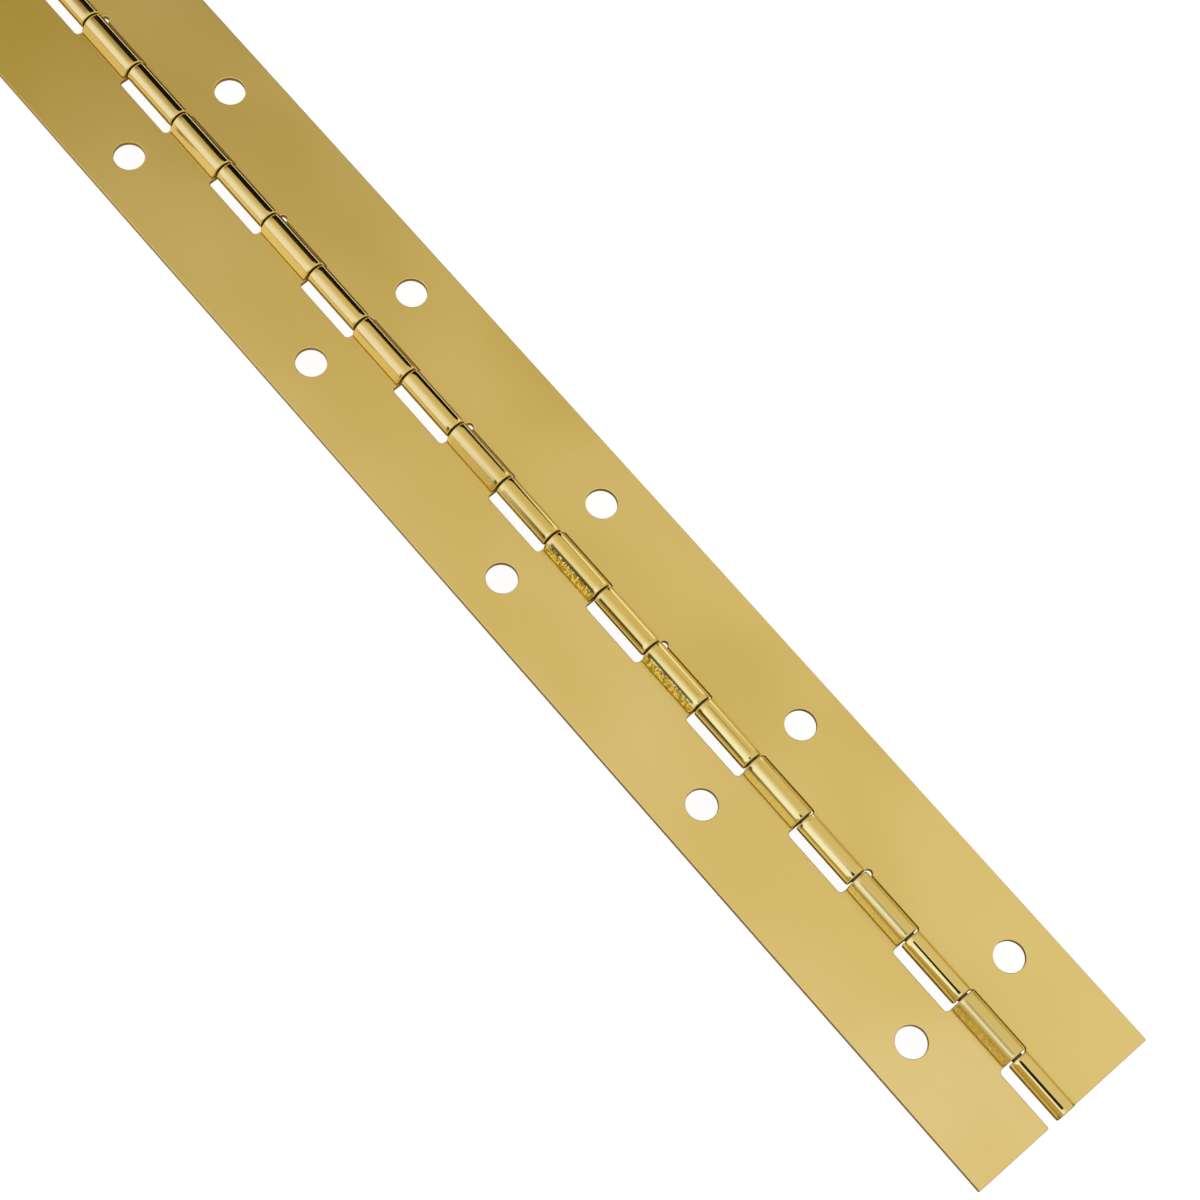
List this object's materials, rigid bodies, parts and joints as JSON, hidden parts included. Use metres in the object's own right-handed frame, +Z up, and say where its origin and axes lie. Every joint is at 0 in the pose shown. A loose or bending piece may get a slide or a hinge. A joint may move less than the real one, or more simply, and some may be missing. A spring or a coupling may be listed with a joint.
{
  "type": "piano hinge",
  "caption": "Continuous sheet-metal hinge lying open flat, with alternate rolled knuckles around one long pin and a row of plain screw holes in each leaf.",
  "frame": {"origin": "middle of the hinge's length, under the pin axis, on the plane of the leaves' undersides", "axes": "+X along the pin towards the end whose last knuckle belongs to the fixed leaf; +Y across the hinge towards the fixed leaf; +Z up, to the side the barrel stands proud on"},
  "size_m": [0.3024, 0.0382, 0.004],
  "materials": {
    "leaf_fixed": "bright",
    "leaf_swing": "bright",
    "pin": "drawn wire"
  },
  "bodies": {
    "fixed_side": {"leaf_fixed": "leaf_fixed", "hinge_pin": "pin"},
    "swing_side": {"leaf_swing": "leaf_swing"}
  },
  "joints": [
    {"name": "leaf_hinge", "type": "hinge", "parent": "fixed_side", "child": "swing_side", "pos_m": [0, 0, 0.002], "axis": [-1, 0, 0], "range_deg": [-100, 180]}
  ]
}
